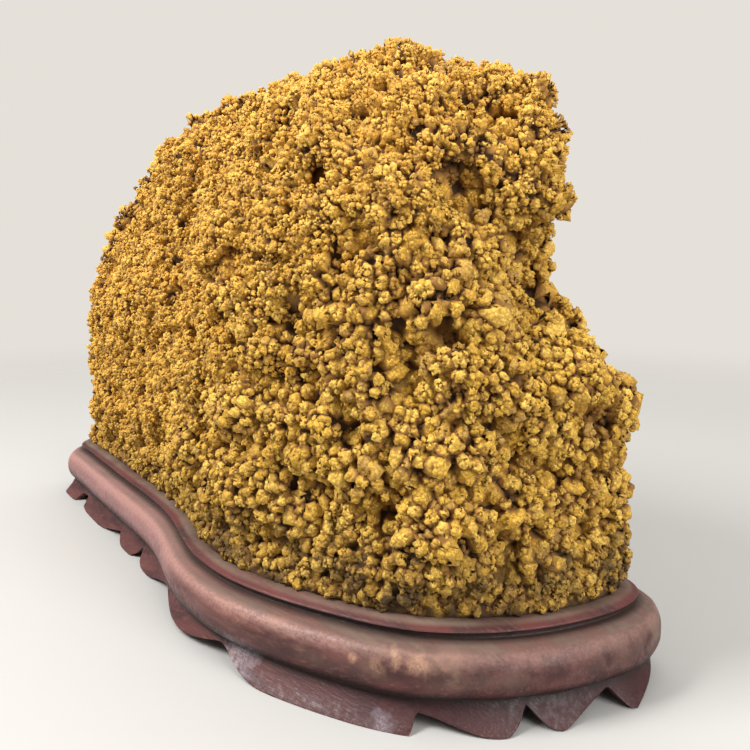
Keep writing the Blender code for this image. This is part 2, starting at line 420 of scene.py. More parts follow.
base_tree = tree_of(base)
growing = (base[:, 2] > RIM_TOP + LOWEST_FLORET) & (smooth_place < BARE_ABOVE)
large = spread(base, base_tree, radius_here * FLORET_SPACING, growing)
covered = np.zeros(len(base), bool)
for index in large:
    reach = FLORET_COVERS * radius_here[index]
    covered[[found[1] for found in base_tree.find_range(base[index], reach)]] = True
filler_radius = GAP_FILLER_SIZE * even_radius * uneven(0.75, 0.5, len(base))
small = spread(base, base_tree, filler_radius * GAP_FILLER_SPACING, growing & ~covered)
centres = np.concatenate([large, small])
sizes = np.concatenate([radius_here[large], filler_radius[small]])
print(len(large), "large florets and", len(small), "small ones")

# %% [markdown]
# Every floret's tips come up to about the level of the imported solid, and slow swells, pits and long
# creases take that level up and down. A crease follows the borders of large cells, where the distances
# to the two nearest cell middles are nearly equal.

# %% The level of the crust
# Each noise: the size of its features in mm, and a number that makes it different from the others.
SWELL, SWELL_NOISE = 2.4, (24.0, 5.0)
KNOLL, KNOLL_NOISE = 2.1, (11.0, 8.0)
CREASE_DEPTH, CREASE_SIZE, CREASE_WIDTH, CREASE_NOISE = 4.6, 36.0, 0.15, (60.0, 9.0)
CLUMP_DEPTH, CLUMP_SIZE, CLUMP_WIDTH, CLUMP_NOISE = 4.6, 19.0, 0.30, (40.0, 6.0)
WANDER, WANDER_SIZE, WANDER_SEEDS = 3.5, 9.0, (12.0, 14.0, 16.0)
PIT_DEPTH = 5.0
SMOOTH_DEPTH = 1.2
CRUST_LIFT = 1.2


def cell_borders(points, size, width):
    """1 along the borders of large irregular cells, and 0 inside them."""
    nearest_two = np.array([noise.voronoi(Vector(p) / size)[0][:2] for p in points])
    return 1 - soft_step((nearest_two[:, 1] - nearest_two[:, 0]) / width)


crease = cell_borders(base + 4 * outward, CREASE_SIZE, CREASE_WIDTH)
crease *= soft_step(0.4 + 1.8 * noise_at(base, *CREASE_NOISE))
wander = np.column_stack([WANDER * noise_at(base, WANDER_SIZE, seed) for seed in WANDER_SEEDS])
clump_edge = cell_borders(base + wander, CLUMP_SIZE, CLUMP_WIDTH)
clump_edge *= (0.25 + 0.75 * fineness) * soft_step(0.75 + noise_at(base, *CLUMP_NOISE))
level = SWELL * noise_at(base, *SWELL_NOISE) - CLUMP_DEPTH * clump_edge
level -= CREASE_DEPTH * crease + PIT_DEPTH * pit
level += KNOLL * fineness * noise_at(base, *KNOLL_NOISE) - SMOOTH_DEPTH * smooth_place + CRUST_LIFT
print("the crust's level runs from", level.min().round(1), "to", level.max().round(1), "mm")

# %% [markdown]
# Each floret has a middle, sunk so that its tips reach the level, and it is known by its nearest
# neighbours: half-way to them lies the seam where the two press against each other.

# %% The florets' middles and neighbours
REACH = 1.12
UNEVEN = 1.3
HIGHEST = 2.2
NEIGHBOURS = 7
SEAM_WIDTH = 0.30

floret_level = np.minimum(level[centres] + UNEVEN * rng.normal(size=len(centres)), HIGHEST)
middle_depth = floret_level - REACH * sizes
middles = base[centres] + outward[centres] * middle_depth[:, None]
middle_tree = tree_of(middles)


def nearest_florets(points):
    return np.array([[found[1] for found in middle_tree.find_n(p, NEIGHBOURS)] for p in points])


def in_floret_radii(points, florets):
    """How far each point is from each of its florets' middles, in shares of that floret's radius."""
    return np.linalg.norm(points[..., None, :] - middles[florets], axis=-1) / sizes[florets]


around = nearest_florets(middles)
print(len(middles), "florets, each with", NEIGHBOURS - 1, "neighbours")

# %% [markdown]
# The body is raised to just under each floret's buds, so that no gap opens between them, and sunk along
# the seams. The distance to a floret's middle is bent by noise, because no floret is quite round.

# %% The body raised under the florets
UNDER_BUDS = 0.82
RAISED_TO = 1.25
CREASE_FLOOR = 1.15
SMOOTH_FILL = 0.6
SEAM_DEPTH = 1.6
BEND, BEND_NOISE = 0.3, (4.5, 2.0)
GRIT, GRIT_NOISE = 0.35, (5.0, 1.0)

bend = 1 + BEND * noise_at(base, *BEND_NOISE)
raised = level - CREASE_FLOOR * even_radius * (1 - SMOOTH_FILL * smooth_place)
for index, size, depth in zip(centres, sizes, middle_depth):
    reach = UNDER_BUDS * size
    for _, near, distance in base_tree.find_range(base[index], RAISED_TO * reach):
        rise = depth + math.sqrt(max(reach**2 - (bend[near] * distance) ** 2, 0))
        if rise > raised[near]:
            raised[near] = rise
raised += GRIT * noise_at(base, *GRIT_NOISE)
raised_points = base + outward * raised[:, None]
apart = in_floret_radii(raised_points, nearest_florets(raised_points))
apart.sort(axis=1)
body_seam = 1 - soft_step((apart[:, 1] - apart[:, 0]) / SEAM_WIDTH)
raised -= SEAM_DEPTH * body_seam * (1 - smooth_place)
set_points(body, base + outward * (raised * above_rim)[:, None])
print("body box", points_of(body).min(0).round(1), points_of(body).max(0).round(1))

# %% [markdown]
# The finish needs to know how near a tip each point is. On the body that follows from how high the point was
# raised, and pits and seams count as low, so that painted shade and dirt darken them.

# %% How near a tip the body is
TIP_AT_LEVEL = 0.95
TIP_SLOPE = 0.75
PIT_DIRT_AND_SHADE = 0.7
SEAM_DIRT_AND_SHADE = 0.7

body_tip = soft_step(TIP_AT_LEVEL + TIP_SLOPE * (raised - level) / even_radius)
# Pits and seams are painted darker here, as shade and dirt.
body_tip *= (1 - PIT_DIRT_AND_SHADE * pit) * (1 - SEAM_DIRT_AND_SHADE * body_seam)
print("the body's mean nearness to a tip:", body_tip.mean().round(2))

# %% [markdown]
# ## Buds and crumbs
# A floret is a bunch of smaller buds, and the fine crust is nothing but crumbs. They are far too
# small for the grid of the body, so each is a little dome of its own, sunk into the surface. A few
# uneven shapes are made from an icosphere without its lower faces, jostled, and placed tens of
# thousands of times from arrays. A bud has thirty faces and a crumb ten, since it is a few pixels wide.

# %% A few uneven domes
JOSTLE_SCALE = 1.4


def dome_shapes(subdivisions, lowest, jostle, count, seed):
    """Small uneven domes of radius 1 as pairs of points and triangles, open below."""
    shapes = []
    for number in range(count):
        bm = bmesh.new()
        bmesh.ops.create_icosphere(bm, subdivisions=subdivisions, radius=1.0)
        hidden = [face for face in bm.faces if face.calc_center_median().z < lowest]
        bmesh.ops.delete(bm, geom=hidden, context="FACES")
        for vert in bm.verts:
            vert.co *= 1 + jostle * noise.noise(JOSTLE_SCALE * vert.co + Vector((seed, 5 * number, 0)))
        bm.verts.index_update()
        points = np.array([vert.co for vert in bm.verts])
        faces = np.array([[vert.index for vert in face.verts] for face in bm.faces])
        shapes.append((points, faces))
        bm.free()
    return shapes


crumb_shapes = dome_shapes(subdivisions=1, lowest=0.0, jostle=0.7, count=12, seed=11)
bud_shapes = dome_shapes(subdivisions=2, lowest=0.25, jostle=0.8, count=12, seed=12)
print("faces in a crumb:", len(crumb_shapes[0][1]), " in a bud:", len(bud_shapes[0][1]))


# %% Turning domes and joining them
def frames_along(directions):
    """Three axes for each direction, the last of them along it, turned at random about it."""
    upright = np.where(np.abs(directions[:, 2:]) < 0.9, [[0.0, 0.0, 1.0]], [[1.0, 0.0, 0.0]])
    side = np.cross(directions, upright)
    side /= np.linalg.norm(side, axis=1)[:, None]
    other = np.cross(directions, side)
    turn = rng.random(len(directions))[:, None] * 2 * math.pi
    first = side * np.cos(turn) + other * np.sin(turn)
    return np.stack([first, np.cross(directions, first), directions], axis=1)


def mesh_of(name, points, faces):
    mesh = bpy.data.meshes.new(name)
    mesh.vertices.add(len(points))
    mesh.loops.add(faces.size)
    mesh.polygons.add(len(faces))
    mesh.loops.foreach_set("vertex_index", faces.astype(np.int32).ravel())
    mesh.polygons.foreach_set("loop_start", np.arange(0, faces.size, 3, dtype=np.int32))
    set_points(mesh, points)
    mesh.validate()
    mesh.shade_smooth()
    return mesh


print("dome helpers ready")

# %% [markdown]
# Painted shade and dirt follow depth: the deeper a point lies under the tips round it, the darker and
# browner it is painted. Three measures are mixed. One is taken inside the floret and darkens the seams
# between its buds, one is the depth under the crust's level, and one is the nearness of a neighbouring
# floret. The mix is kept on every point as the attribute "tip".

# %% How near a tip a bud's points are
BUD_TIP_FROM = 0.58
BUD_TIP_OVER = 0.46
LEAST_TIP = 0.2
FINE_LEAST_TIP = 0.2
TIP_AT_TOP = 1.08
FINE_TIP_AT_TOP = 0.14
SHADE_IN_SEAM = 0.25


def bud_tips(placed, mine):
    radii = mine["floret"][:, None]
    fine = mine["fine"][:, None]
    from_middle = np.linalg.norm(placed - mine["middle"][:, None], axis=2) / radii
    to_others = in_floret_radii(placed, around[mine["number"], None, 1:])
    seam = soft_step((to_others.min(axis=2) - from_middle) / SEAM_WIDTH)
    depth = np.einsum("nvj,nj->nv", placed - mine["top"][:, None], mine["out"]) / radii
    least = LEAST_TIP + FINE_LEAST_TIP * fine
    tip = soft_step((from_middle - BUD_TIP_FROM) / BUD_TIP_OVER)
    tip *= least + (1 - least) * soft_step(TIP_AT_TOP + FINE_TIP_AT_TOP * fine + depth)
    # A low tip value paints the point in shade and dirt colours; "clean" carries the floret's painted shade.
    return tip * (SHADE_IN_SEAM + (1 - SHADE_IN_SEAM) * seam) * mine["clean"][:, None]


print("tip helper ready")

# %% A mesh of many domes
ABOVE_STAND = 0.2


def domes(name, shapes, at):
    """One mesh of many domes, from a table of where each is, how large, and its floret."""
    axes = frames_along(at["direction"])
    kind = rng.integers(len(shapes), size=len(axes))
    points_in, faces_in, tips, tones = [], [], [], []
    start = 0
    for number, (points, faces) in enumerate(shapes):
        mine = {key: value[kind == number] for key, value in at.items()}
        count = len(mine["size"])
        placed = np.einsum("nvk,nkj->nvj", points[None] * mine["size"][:, None], axes[kind == number])
        placed += mine["centre"][:, None]
        tips.append(bud_tips(placed, mine).ravel())
        tones.append(np.repeat(mine["tone"], len(points)))
        points_in.append(placed.reshape(-1, 3))
        steps = start + np.arange(count)[:, None, None] * len(points)
        faces_in.append((faces[None] + steps).reshape(-1, 3))
        start += count * len(points)
    every = np.concatenate(points_in)
    every[:, 2] = np.maximum(every[:, 2], RIM_TOP + ABOVE_STAND)
    mesh = mesh_of(name, every, np.concatenate(faces_in))
    set_attribute(mesh, "tip", np.concatenate(tips))
    set_attribute(mesh, "tone", np.concatenate(tones))
    print(name, len(axes), "domes,", len(mesh.polygons), "triangles")
    return mesh


print("dome joiner ready")

# %% [markdown]
# Five habits of growth are seen. The coarse crust has cauliflowers of thirteen buds, bunches of seven
# and smooth groups of three. The fine crust grows in tufts of long crumbs, large and small. Smooth
# groups keep together in some parts of the stone, so slow noise shifts their chance.

# %% A habit for every floret
# Each habit: number of buds, their size and distance as shares of the floret's, cap angle, and stretch.
HABITS = {
    "cauliflower": (13, 0.33, 0.80, 84, 1.0),
    "bunch": (7, 0.46, 0.66, 72, 1.0),
    "trio": (3, 0.68, 0.42, 46, 1.0),
    "tuft": (20, 0.275, 0.80, 84, 1.45),
    "small tuft": (10, 0.34, 0.74, 74, 1.3),
}
TRIO_CHANCE, TRIO_SPAN, TRIO_NOISE = 0.15, 0.35, (28.0, 4.0)
BUNCH_CHANCE = 0.25
FINE_EDGE = 0.15
PALE_KNOB, PALE_KNOB_RADIUS, PALE_KNOB_TONE = (158, -53, 41), 3.4, 5.0

fine_here = fineness[centres] + FINE_EDGE * rng.normal(size=len(centres)) > 0.5
chance = rng.random(len(centres))
is_small = np.arange(len(centres)) >= len(large)
trio_below = TRIO_CHANCE + TRIO_SPAN * soft_step(0.5 + 2 * noise_at(base[centres], *TRIO_NOISE))
is_bunch = (chance < trio_below + BUNCH_CHANCE) | is_small
habit_of = np.where(chance < trio_below, "trio", np.where(is_bunch, "bunch", "cauliflower"))
habit_of = np.where(fine_here, np.where(is_small, "small tuft", "tuft"), habit_of)
floret_tone = rng.random(len(centres))
pale_knob = np.argmin(np.linalg.norm(base[centres] - PALE_KNOB, axis=1))
habit_of[pale_knob] = "trio"
sizes[pale_knob] = PALE_KNOB_RADIUS
floret_tone[pale_knob] = PALE_KNOB_TONE
print({habit: int((habit_of == habit).sum()) for habit in HABITS})

# %% [markdown]
# A habit is a fixed number of directions over a cap, spaced by the golden angle as seeds on a flower
# head are, then shaken. The cap leans a little off the surface, so that no two florets look alike.

# %% Buds on every floret
GOLDEN_ANGLE = math.pi * (3 - math.sqrt(5))
FIRST_BUD = 0.35
SHAKE = 0.15
LEAN = 0.16
FLORET_TONE_SHARE = 0.7
PIT_SHADE = 0.6
DEEP_SHADE, DEEP_OVER = 0.50, 5.5

floret_out = outward[centres]
floret_top = base[centres] + floret_out * floret_level[:, None]
# Painted shade: florets that lie deep or in pits get darker buds.
floret_unshaded = DEEP_SHADE + (1 - DEEP_SHADE) * soft_step(1.05 + floret_level / DEEP_OVER)
floret_unshaded *= 1 - PIT_SHADE * pit[centres]

tables = []
for habit, (count, share, distance, cap_angle, stretch) in HABITS.items():
    chosen = np.flatnonzero(habit_of == habit)
    number = np.arange(count)
    polar = np.arccos(1 - (1 - math.cos(math.radians(cap_angle))) * (number + FIRST_BUD) / count)
    turn = number * GOLDEN_ANGLE
    cap = np.column_stack([np.sin(polar) * np.cos(turn), np.sin(polar) * np.sin(turn), np.cos(polar)])
    shaken = cap[None] + SHAKE * rng.normal(size=(len(chosen), count, 3))
    lean = floret_out[chosen] + LEAN * rng.normal(size=(len(chosen), 3))
    lean /= np.linalg.norm(lean, axis=1)[:, None]
    direction = np.einsum("nck,nkj->ncj", shaken, frames_along(lean))
    direction /= np.linalg.norm(direction, axis=2)[..., None]
    size = sizes[chosen][:, None]
    out = distance * size * uneven(0.86, 0.28, (len(chosen), count))
    bud = share * size * uneven(0.66, 0.66, (len(chosen), count))
    shape = uneven(0.78, 0.44, (len(chosen), count, 3))
    shape[..., 2] *= stretch
    tone = FLORET_TONE_SHARE * floret_tone[chosen][:, None]
    each = {
        "centre": middles[chosen][:, None] + direction * out[..., None],
        "direction": direction,
        "size": bud[..., None] * shape,
        "tone": tone + (1 - FLORET_TONE_SHARE) * rng.random((len(chosen), count)),
    }
    # The key "clean" carries each floret's painted shade factor.
    of_floret = {
        "number": chosen, "middle": middles[chosen], "top": floret_top[chosen],
        "out": floret_out[chosen], "floret": sizes[chosen], "clean": floret_unshaded[chosen],
        "fine": fine_here[chosen],
    }
    each |= {key: np.repeat(value[:, None], count, axis=1) for key, value in of_floret.items()}
    tables.append({key: value.reshape(-1, *value.shape[2:]) for key, value in each.items()})
buds = {key: np.concatenate([table[key] for table in tables]) for key in tables[0]}
print(len(buds["size"]), "buds and crumbs grown")

# %% [markdown]
# A bud whose end lies nearer to a neighbouring floret's middle than to its own would grow through that
# neighbour, so it is left out. The smallest buds, and those that face away from the camera, get the
# crumb's plainer shape.

# %% Leaving out buds that grow into a neighbour
SEAM_GAP = 0.04
BUD_END = 0.6
CRUMB_BELOW = 1.15
FINE_CRUMB_BELOW = 0.45
TURNED_AWAY = -40

bud_ends = buds["centre"] + BUD_END * buds["direction"] * buds["size"][:, 2:]
to_own = np.linalg.norm(bud_ends - buds["middle"], axis=1) / buds["floret"]
to_others = in_floret_radii(bud_ends, around[buds["number"], 1:])
kept = to_others.min(axis=1) > to_own + SEAM_GAP
buds = {key: value[kept] for key, value in buds.items()}
as_crumb = buds["size"].mean(axis=1) < CRUMB_BELOW + FINE_CRUMB_BELOW * buds["fine"]
bud_to_eye = np.array(CAMERA_PLACE) / MM - buds["centre"]
as_crumb |= (bud_to_eye * buds["out"]).sum(axis=1) < TURNED_AWAY
print(int((~as_crumb).sum()), "buds and", int(as_crumb.sum()), "crumbs kept")

# %% [markdown]
# Where the stone turns a sharp edge, the raised body spreads out under a floret and some of its buds
# would hang in the air. Each bud's centre is therefore drawn in until it is near the body's surface.

# %% Buds drawn in to the body
BUD_OFF_BODY = 0.45
GRID_OFF_BODY = 0.6

ground_tree = tree_of(points_of(body))
ground = np.array([ground_tree.find(centre)[0] for centre in buds["centre"]])
off_body = buds["centre"] - ground
distance_off = np.linalg.norm(off_body, axis=1)
allowed_off = BUD_OFF_BODY * buds["size"].mean(axis=1) + GRID_OFF_BODY * GRAIN
drawn_in = np.minimum(allowed_off / np.maximum(distance_off, 0.01), 1)
buds["centre"] = ground + off_body * drawn_in[:, None]
farthest = float((distance_off * (1 - drawn_in)).max())
print(int((drawn_in < 1).sum()), "buds drawn in, the farthest by", round(farthest, 1), "mm")

# %% [markdown]
# ## The finish of the stone
# The crust is matt ochre. Its tips are clean and yellow, its creases are painted brown-black as shade and
# dirt, and grey-tan dust lies in the hollows. The top is oranger, the coarse flank more olive, and a band
# along the foot is painted dull and dark as shade. One node group works out the colour from the attribute
# that says how near a tip a point is, and both the body and the domes use it.


# %% Sockets of the stone's group
def new_group(name, inputs, outputs):
    """A shader node group. Inputs and outputs are pairs of a name and a socket kind."""
    group = bpy.data.node_groups.new(name, "ShaderNodeTree")
    for in_out, sockets in (("INPUT", inputs), ("OUTPUT", outputs)):
        for label, kind in sockets:
            group.interface.new_socket(label, in_out=in_out, socket_type="NodeSocket" + kind)
    return group, group.nodes.new("NodeGroupInput"), group.nodes.new("NodeGroupOutput")


stone_group, entry, leave = new_group(
    "flowstone_colour",
    [("Vector", "Vector"), ("Tip", "Float"), ("Tone", "Float"), ("Bare", "Float")],
    [("Colour", "Color"), ("Height", "Float")],
)
place, nearness, tone = entry.outputs["Vector"], entry.outputs["Tip"], entry.outputs["Tone"]
split = add_node(stone_group, "SeparateXYZ", {0: place})
grit = noise_of(place, 1300.0, 3.0, 0.65)
mottle = noise_of(place, 130.0, 3.0)
granule = add_node(stone_group, "TexVoronoi", {"Vector": place, "Scale": 620.0}).outputs["Distance"]
print("flowstone_colour takes", [item.name for item in entry.outputs if item.name])

# %% [markdown]
# Clean crust is olive low down and orange high up, on a slant. Some florets are duller and some paler, by
# their own random tone, and the finest granules get painted shade in brown at their edges.

# %% Clean crust
OLIVE_COLOUR = (0.60, 0.335, 0.034, 1)
ORANGE_COLOUR = (0.76, 0.39, 0.050, 1)
TAN_COLOUR = (0.40, 0.245, 0.085, 1)
PALE_COLOUR = (0.92, 0.625, 0.145, 1)
SHADE_COLOUR = (0.225, 0.105, 0.026, 1)
# Ramps: from, to, and where they are given, the values at both ends.
ORANGE_ABOVE, SLANT, PATCHES_SHIFT = (0.10, 0.24), 0.55, 0.12
DULL_TONES, MOTTLE_IN_DULL = (0.66, 0.36, 0.0, 0.75), 0.6
PALE_TONES, TONE_IN_PALE = (0.50, 1.05, 0.0, 0.95), 0.38
GRANULE_EDGES, GRIT_IN_EDGES = (0.14, 0.50, 0.0, 0.45), -0.35

patches = noise_of(place, 22.0)
slant = math_node("SUBTRACT", split.outputs["Z"], product(split.outputs["X"], SLANT))
slant = math_node("ADD", slant, product(patches, PATCHES_SHIFT))
clean = mix_colour(remap(slant, *ORANGE_ABOVE), OLIVE_COLOUR, ORANGE_COLOUR)
dull = math_node("ADD", tone, product(mottle, MOTTLE_IN_DULL))
clean = mix_colour(remap(dull, *DULL_TONES), clean, TAN_COLOUR)
pale = math_node("ADD", product(tone, TONE_IN_PALE), grit)
clean = mix_colour(remap(pale, *PALE_TONES), clean, PALE_COLOUR)
# Painted shade between the finest granules, darker at their edges.
edges = math_node("ADD", granule, product(grit, GRIT_IN_EDGES))
clean = mix_colour(remap(edges, *GRANULE_EDGES), clean, SHADE_COLOUR)
print("clean crust:", len(stone_group.nodes), "nodes so far")

# %% [markdown]
# Painted shade and dirt fill the creases in two steps, brown and then nearly black. Dust greys the smooth
# places, and the foot is painted dark in patches as shadow, most of all under the tall end.

# %% Painted shade and dirt in creases, dust, and painted shadow on the foot
CREASE_SHADE_AND_DIRT_COLOUR = (0.040, 0.020, 0.009, 1)
DUST_COLOUR = (0.27, 0.165, 0.070, 1)
FOOT_SHADE_COLOUR = (0.075, 0.042, 0.018, 1)
UNSHADED_CLEAN_TIPS = (0.20, 0.72)
SHADED_DIRTY_CREASES = (0.0, 0.26)
DUST_MOTTLE = (0.3, 0.7, 0.35, 0.9)
FOOT_HEIGHT, MOTTLE_ON_FOOT = (0.008, 0.046, 1.0, 0.0), -0.06
FOOT_ALONG = (-0.02, 0.10, 0.45, 1.0)
FOOT_PATCHES = (0.40, 0.62, 1.0, 0.25)
RELIEF_AT_TIPS, GRANULE_DEPTH = (0.15, 0.80, 0.35, 1.0), 1.1

# Painted shade and dirt: points far from a tip turn brown, then nearly black.
worked = mix_colour(remap(nearness, *UNSHADED_CLEAN_TIPS), SHADE_COLOUR, clean)
worked = mix_colour(remap(nearness, *SHADED_DIRTY_CREASES), CREASE_SHADE_AND_DIRT_COLOUR, worked)
dust_share = product(entry.outputs["Bare"], remap(mottle, *DUST_MOTTLE))
worked = mix_colour(dust_share, worked, DUST_COLOUR)
# Painted shadow along the foot above the rim, darkest under the tall end.
foot_line = math_node("ADD", split.outputs["Z"], product(mottle, MOTTLE_ON_FOOT))
foot_patches = remap(noise_of(place, 85.0, 3.0), *FOOT_PATCHES)
foot_shade = product(remap(foot_line, *FOOT_HEIGHT), remap(split.outputs["X"], *FOOT_ALONG), foot_patches)
worked = mix_colour(foot_shade, worked, FOOT_SHADE_COLOUR)
stone_group.links.new(worked, leave.inputs["Colour"])
granules = math_node("SUBTRACT", grit, product(granule, GRANULE_DEPTH))
relief = product(granules, remap(nearness, *RELIEF_AT_TIPS))
stone_group.links.new(relief, leave.inputs["Height"])
print("flowstone_colour has", len(stone_group.nodes), "nodes")


# %% The stone's material
def set_relief(shader, height, depth, strength):
    """A bump of the given depth in millimetres."""
    bump = add_node(shader.id_data, "Bump", {"Height": height, "Distance": depth * MM, "Strength": strength})
    shader.id_data.links.new(bump.outputs["Normal"], shader.inputs["Normal"])


def crust_material(name, roughness, relief, gloss):
    made, tree, shader = new_material(name)
    place = add_node(tree, "TexCoord").outputs["Object"]
    colour = add_node(tree, "Group", {"Vector": place}, node_tree=stone_group)
    for label in ("tip", "tone", "bare"):
        value = add_node(tree, "Attribute", attribute_name=label).outputs["Fac"]
        tree.links.new(value, colour.inputs[label.capitalize()])
    tree.links.new(colour.outputs["Colour"], shader.inputs["Base Color"])
    set_relief(shader, colour.outputs["Height"], relief, 1.0)
    shader.inputs["Roughness"].default_value = roughness
    shader.inputs["Specular IOR Level"].default_value = gloss
    return made


crust_finish = crust_material("ochre_crust", roughness=0.85, relief=0.6, gloss=0.2)
print("material", crust_finish.name)

# %% [markdown]
# The body and the domes become pieces. A piece is kept small enough for every tool that reads it later,
# so buds and crumbs are each divided along the stone into meshes of less than a set number of faces.

# %% The stone's pieces
PIECE_LIMIT = 190000
BODY_TONE = 0.3


def shown_piece(mesh, finish):
    """A finished mesh as a piece at the origin that rides on the part's one body."""
    mesh.materials.clear()
    mesh.materials.append(finish)
    piece = in_scene(mesh.name, mesh)
    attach(piece, "root")
    return piece


body.shade_smooth()
set_attribute(body, "tip", body_tip)
set_attribute(body, "tone", np.full(len(base), BODY_TONE))
set_attribute(body, "bare", smooth_place)
stone_piece = shown_piece(body, crust_finish)
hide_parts("stone")
total = 0
for name, shapes, chosen in (("buds", bud_shapes, ~as_crumb), ("crumbs", crumb_shapes, as_crumb)):
    picked = np.flatnonzero(chosen)
    picked = picked[np.argsort(buds["centre"][picked, 0])]
    most = max(len(faces) for _, faces in shapes)
    for number, part in enumerate(np.array_split(picked, math.ceil(len(picked) * most / PIECE_LIMIT))):
        crust = domes(f"{name}_{number + 1}", shapes, {key: value[part] for key, value in buds.items()})
        shown_piece(crust, crust_finish)
        total += len(crust.polygons)
print(total, "triangles of buds and crumbs")

# %% [markdown]
# ## The stand
# The stand is one board, carved with a well for the stone, a moulded rim and a scalloped apron. The
# solid has every edge of it in straight facets. A copy with its triangles joined into four-sided faces
# takes a Subdivision Surface well: the bullnose and the cove turn round, and creases keep the edges that
# a carver cuts sharp. The apron's lower edge is bevelled first, as the thin worn line there shows.

# %% The lower edge of the apron
FLAT_WITHIN = math.radians(35)
ANY_SHAPE = math.radians(180)
SHARP_ANGLE = math.radians(42)
APRON_TOP = 10.5
EDGE_BEVEL = 1.1
AXIS_HALF = 150.0
FACES_OUT = 0.3

bm = merged_copy("stand")
bmesh.ops.recalc_face_normals(bm, faces=bm.faces)
bmesh.ops.join_triangles(bm, faces=bm.faces, angle_face_threshold=FLAT_WITHIN,
                         angle_shape_threshold=ANY_SHAPE, cmp_seam=False)


def out_from_axis(point):
    """The plan direction from the stand's middle line to a point."""
    near = Vector((min(max(point.x, -AXIS_HALF * MM), AXIS_HALF * MM), 0, 0))
    return Vector((point.x - near.x, point.y - near.y, 0)).normalized()


def outer_low_edge(edge):
    low = all(vert.co.z < APRON_TOP * MM for vert in edge.verts)
    if not low or len(edge.link_faces) != 2 or edge.calc_face_angle(0) < SHARP_ANGLE:
        return False
    away = out_from_axis(edge.verts[0].co)
    return max(face.normal.dot(away) for face in edge.link_faces) > FACES_OUT


low_edges = [edge for edge in bm.edges if outer_low_edge(edge)]
bmesh.ops.bevel(bm, geom=low_edges, offset=EDGE_BEVEL * MM, offset_type="OFFSET", segments=1,
                profile=0.5, affect="EDGES", material=-1, clamp_overlap=True)
print(len(low_edges), "edges bevelled along the apron")

# %% A finer stand
SOFT_ANGLE = math.radians(20)
SHARP_CREASE = 0.75
SOFT_CREASE = 0.38
FINER = 2

crease_layer = bm.edges.layers.float.new("crease_edge")
for edge in bm.edges:
    if len(edge.link_faces) == 2 and edge.calc_face_angle(0) > SOFT_ANGLE:
        edge[crease_layer] = SHARP_CREASE if edge.calc_face_angle(0) > SHARP_ANGLE else SOFT_CREASE
stand = after_modifiers(bm, "carved_stand", [("SUBSURF", {"levels": FINER, "render_levels": FINER})])
print("stand", len(stand.polygons), "faces")

# %% [markdown]
# Wear follows form: raised edges are rubbed pale, and hollows are painted dark as shade and dirt. How far a
# point stands out from the middle of its neighbours tells them apart, and a little smoothing spreads the
# mark as a hand or a duster would.

# %% Edges and hollows of the wood
WEAR_REACH = 3
STRONGEST_RIDGES = 97


def neighbour_mean(values, ends, count):
    total = np.zeros_like(values)
    np.add.at(total, ends[:, 0], values[ends[:, 1]])
    np.add.at(total, ends[:, 1], values[ends[:, 0]])
    number = np.bincount(ends.ravel(), minlength=count)
    return total / (number[:, None] if values.ndim == 2 else number)


def ridge_mask(mesh, reach):
    """Above zero where a point stands out from its neighbours, below zero where it lies deep."""
    ends = np.empty(len(mesh.edges) * 2, np.int32)
    mesh.edges.foreach_get("vertices", ends)
    ends = ends.reshape(-1, 2)
    points, normals = points_of(mesh), normals_of(mesh)
    out = ((points - neighbour_mean(points, ends, len(points))) * normals).sum(axis=1)
    for _ in range(reach):
        out = 0.5 * out + 0.5 * neighbour_mean(out, ends, len(points))
    return out


ridge = ridge_mask(stand, WEAR_REACH)
set_attribute(stand, "ridge", np.clip(ridge / np.percentile(np.abs(ridge), STRONGEST_RIDGES), -1, 1))
stand.shade_smooth()
print("ridges on", round(100 * float((ridge > 0.05).mean())), "percent of the stand's points")

# %% [markdown]
# ## The finish of the wood
# Dust settles on what faces up, in patches. It is an effect of its own, so it gets its own group.

# %% A group for settled dust
DUST_LEVEL = (0.55, 0.98)
DUST_PATCHES = (0.30, 0.68, 0.35, 1.0)

dust_group, entry, leave = new_group(
    "settled_dust", [("Vector", "Vector"), ("Facing Up", "Float")], [("Dust", "Float")]
)
facing_sky = remap(entry.outputs["Facing Up"], *DUST_LEVEL)
patchy = remap(noise_of(entry.outputs["Vector"], 38.0, 5.0, 0.6), *DUST_PATCHES)
dust_group.links.new(product(facing_sky, patchy), leave.inputs["Dust"])
print("settled_dust has", len(dust_group.nodes), "nodes")

# %% [markdown]
# The wood is a purple-brown hardwood under thin old lacquer. Its grain runs the length of the board, so
# the noise that draws it is stretched along X: fibres are fine, bands broad. A cloud and a speckle, which
# aren't stretched, break up everything that hands and years have done to it.

# %% Grain
WOOD_DARK = (0.038, 0.012, 0.013, 1)
WOOD_BASE = (0.115, 0.036, 0.033, 1)
WOOD_RUBBED_AND_SHEEN = (0.34, 0.165, 0.110, 1)
ALONG_GRAIN = 0.09
DARK_BANDS = (0.32, 0.68)
PALE_FIBRES = (0.52, 0.78, 0.0, 0.35)

